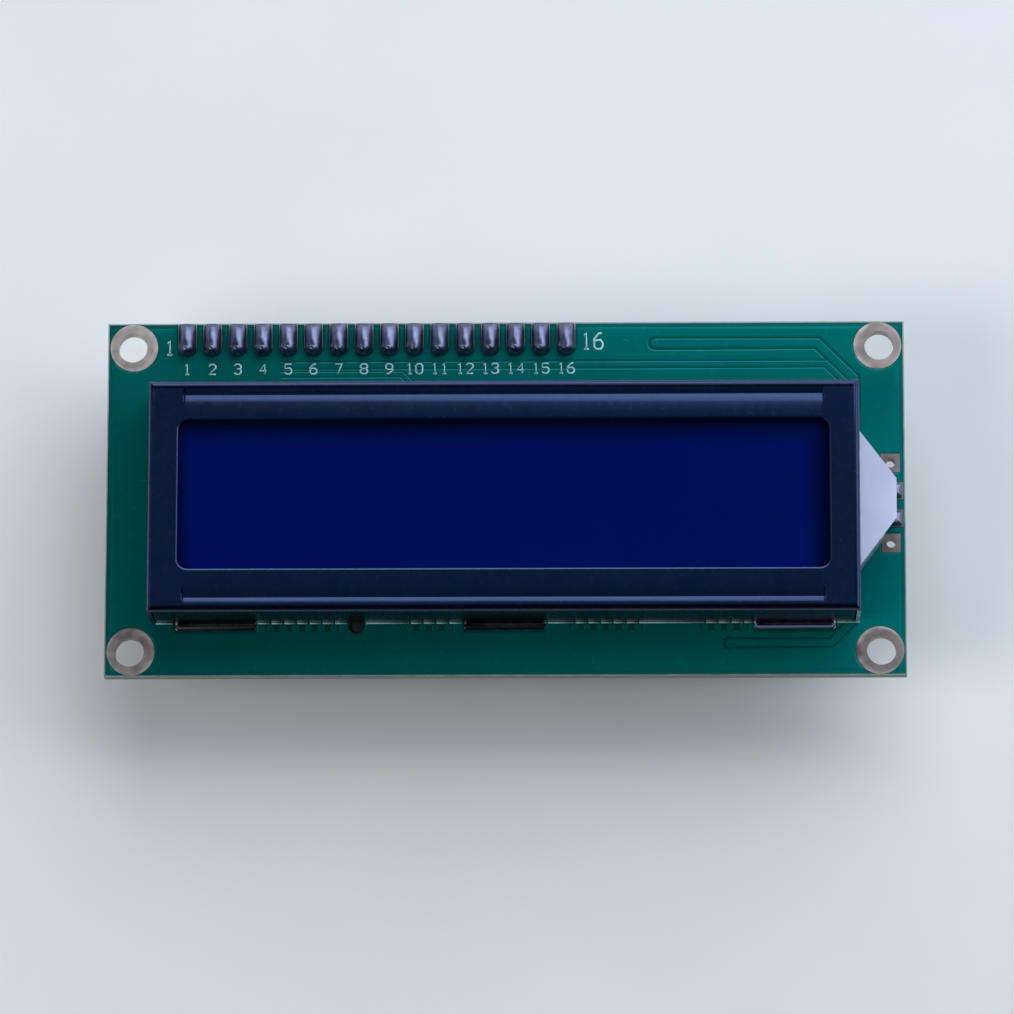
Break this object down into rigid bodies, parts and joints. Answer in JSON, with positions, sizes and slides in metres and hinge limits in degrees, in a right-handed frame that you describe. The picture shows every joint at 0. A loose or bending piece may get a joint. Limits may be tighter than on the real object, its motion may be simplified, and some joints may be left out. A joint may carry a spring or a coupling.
{
  "type": "character lcd module",
  "caption": "Blue backlit character display in a black stamped steel bezel on a green circuit board, with a soldered pin header along one edge.",
  "frame": {"origin": "middle of the four screw holes, on the front face of the circuit board", "axes": "+X along the board towards the backlight's LED, +Y across the board towards the header row, +Z out of the display towards the viewer"},
  "size_m": [0.08, 0.036, 0.017],
  "materials": {
    "board_green": "gloss",
    "tinned_pad": "satin",
    "solder": "gloss",
    "bezel_black": "satin",
    "display_film": "gloss",
    "cell_glass": "gloss",
    "white_film": "matte",
    "clear_guide": "gloss",
    "connector_rubber": "matte",
    "led_white": "matte",
    "phosphor_yellow": "gloss",
    "header_black": "matte",
    "pin_metal": "satin",
    "epoxy_black": "satin",
    "resistor_black": "satin",
    "capacitor_tan": "satin"
  },
  "bodies": {
    "root": {"backlight_led": "led_white", "backlight_pads": "tinned_pad", "bezel": "bezel_black", "chip_capacitor_1": "capacitor_tan", "chip_capacitor_2": "capacitor_tan", "chip_resistor_1": "resistor_black", "chip_resistor_2": "resistor_black", "chip_resistor_3": "resistor_black", "chip_resistor_4": "resistor_black", "chip_resistor_5": "resistor_black", "chip_resistor_6": "resistor_black", "circuit_board": "board_green", "controller_epoxy": "epoxy_black", "diffuser_film": "white_film", "driver_epoxy": "epoxy_black", "front_glass": "cell_glass", "front_polariser": "display_film", "header_pin_01": "pin_metal", "header_pin_02": "pin_metal", "header_pin_03": "pin_metal", "header_pin_04": "pin_metal", "header_pin_05": "pin_metal", "header_pin_06": "pin_metal", "header_pin_07": "pin_metal", "header_pin_08": "pin_metal", "header_pin_09": "pin_metal", "header_pin_10": "pin_metal", "header_pin_11": "pin_metal", "header_pin_12": "pin_metal", "header_pin_13": "pin_metal", "header_pin_14": "pin_metal", "header_pin_15": "pin_metal", "header_pin_16": "pin_metal", "header_solder": "solder", "header_strip": "header_black", "led_phosphor": "phosphor_yellow", "led_solder": "solder", "led_terminals": "tinned_pad", "light_guide": "clear_guide", "lower_connector_strip": "connector_rubber", "mounting_pads": "tinned_pad", "neck_film": "white_film", "rear_glass": "cell_glass", "rear_polariser": "display_film", "reflector_film": "white_film", "upper_connector_strip": "connector_rubber"}
  },
  "joints": []
}
